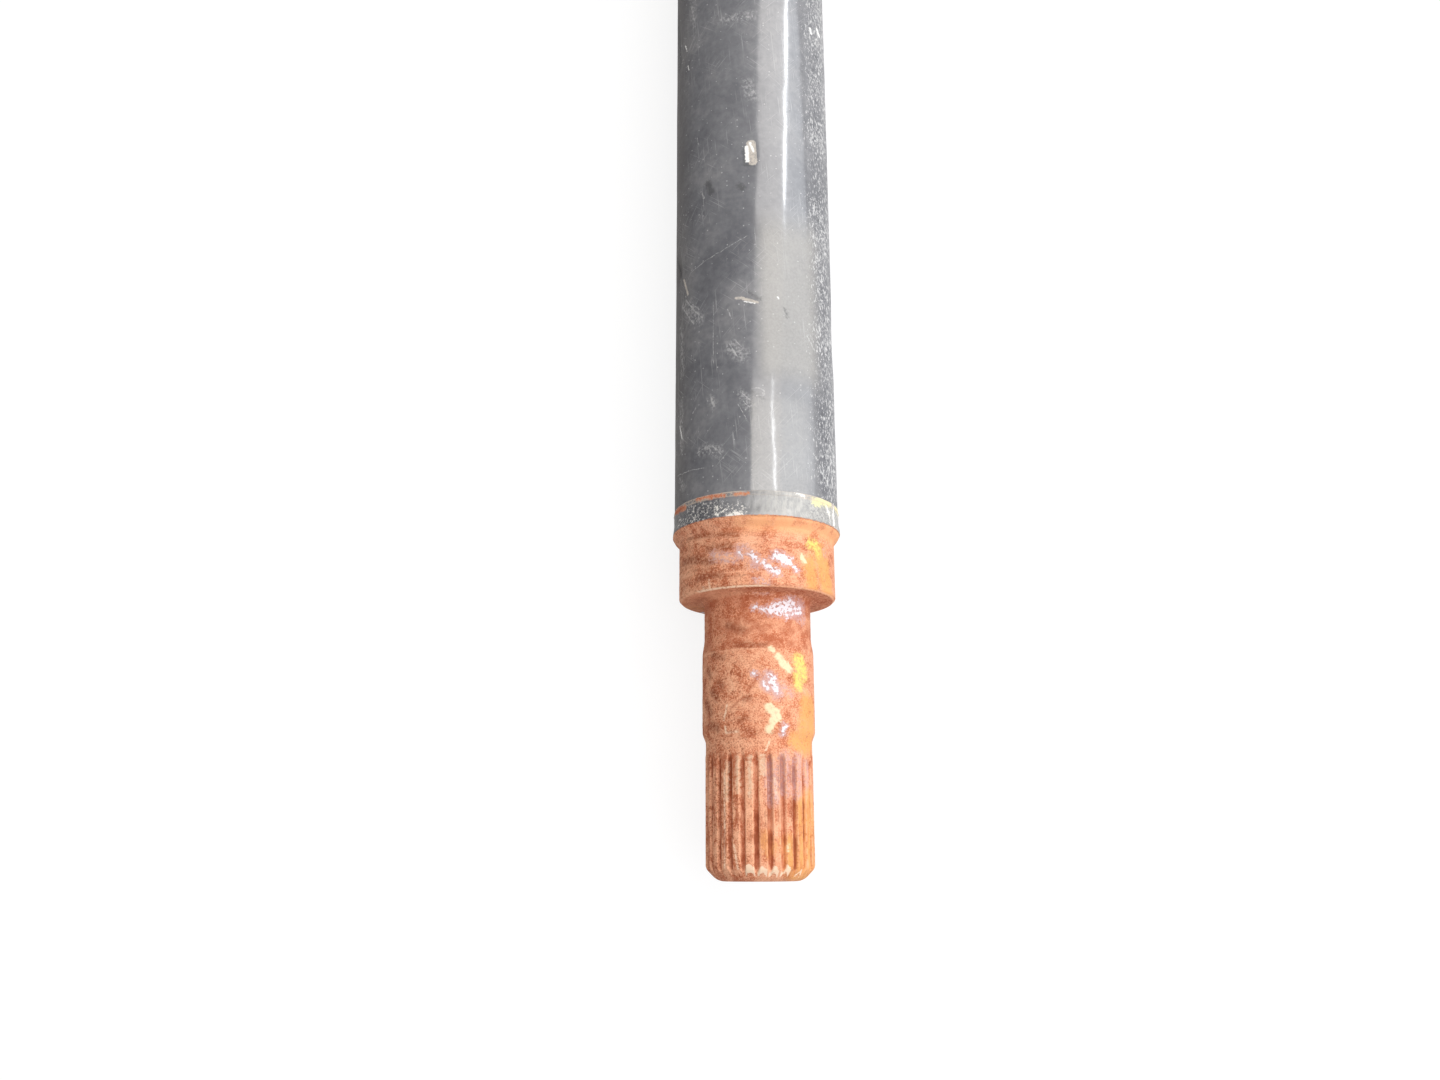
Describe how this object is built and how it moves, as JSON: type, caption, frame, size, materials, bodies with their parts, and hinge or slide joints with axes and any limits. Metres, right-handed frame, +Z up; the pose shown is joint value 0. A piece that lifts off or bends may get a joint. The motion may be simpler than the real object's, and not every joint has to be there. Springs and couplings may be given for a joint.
{
  "type": "axle shaft",
  "caption": "Tubular axle shaft: a black painted steel tube with a splined, rusty stub shaft welded into each end, to carry drive between a gearbox and a wheel hub.",
  "frame": {"origin": "on the shaft's axis, at the middle of its length", "axes": "+Y along the shaft's axis towards the far end; the pictured end is at -Y; +Z up as the shaft lies on a floor"},
  "size_m": [0.065, 0.75, 0.065],
  "materials": {
    "black_paint": "weathered gloss paint, scratched",
    "weld_paint": "worn paint over a weld, rust at the edges",
    "rusty_steel": "bare steel under an even coat of rust"
  },
  "bodies": {
    "root": {"tube": "black_paint", "near_weld_bead": "weld_paint", "far_weld_bead": "weld_paint", "near_stub_shaft": "rusty_steel", "far_stub_shaft": "rusty_steel"}
  },
  "joints": []
}
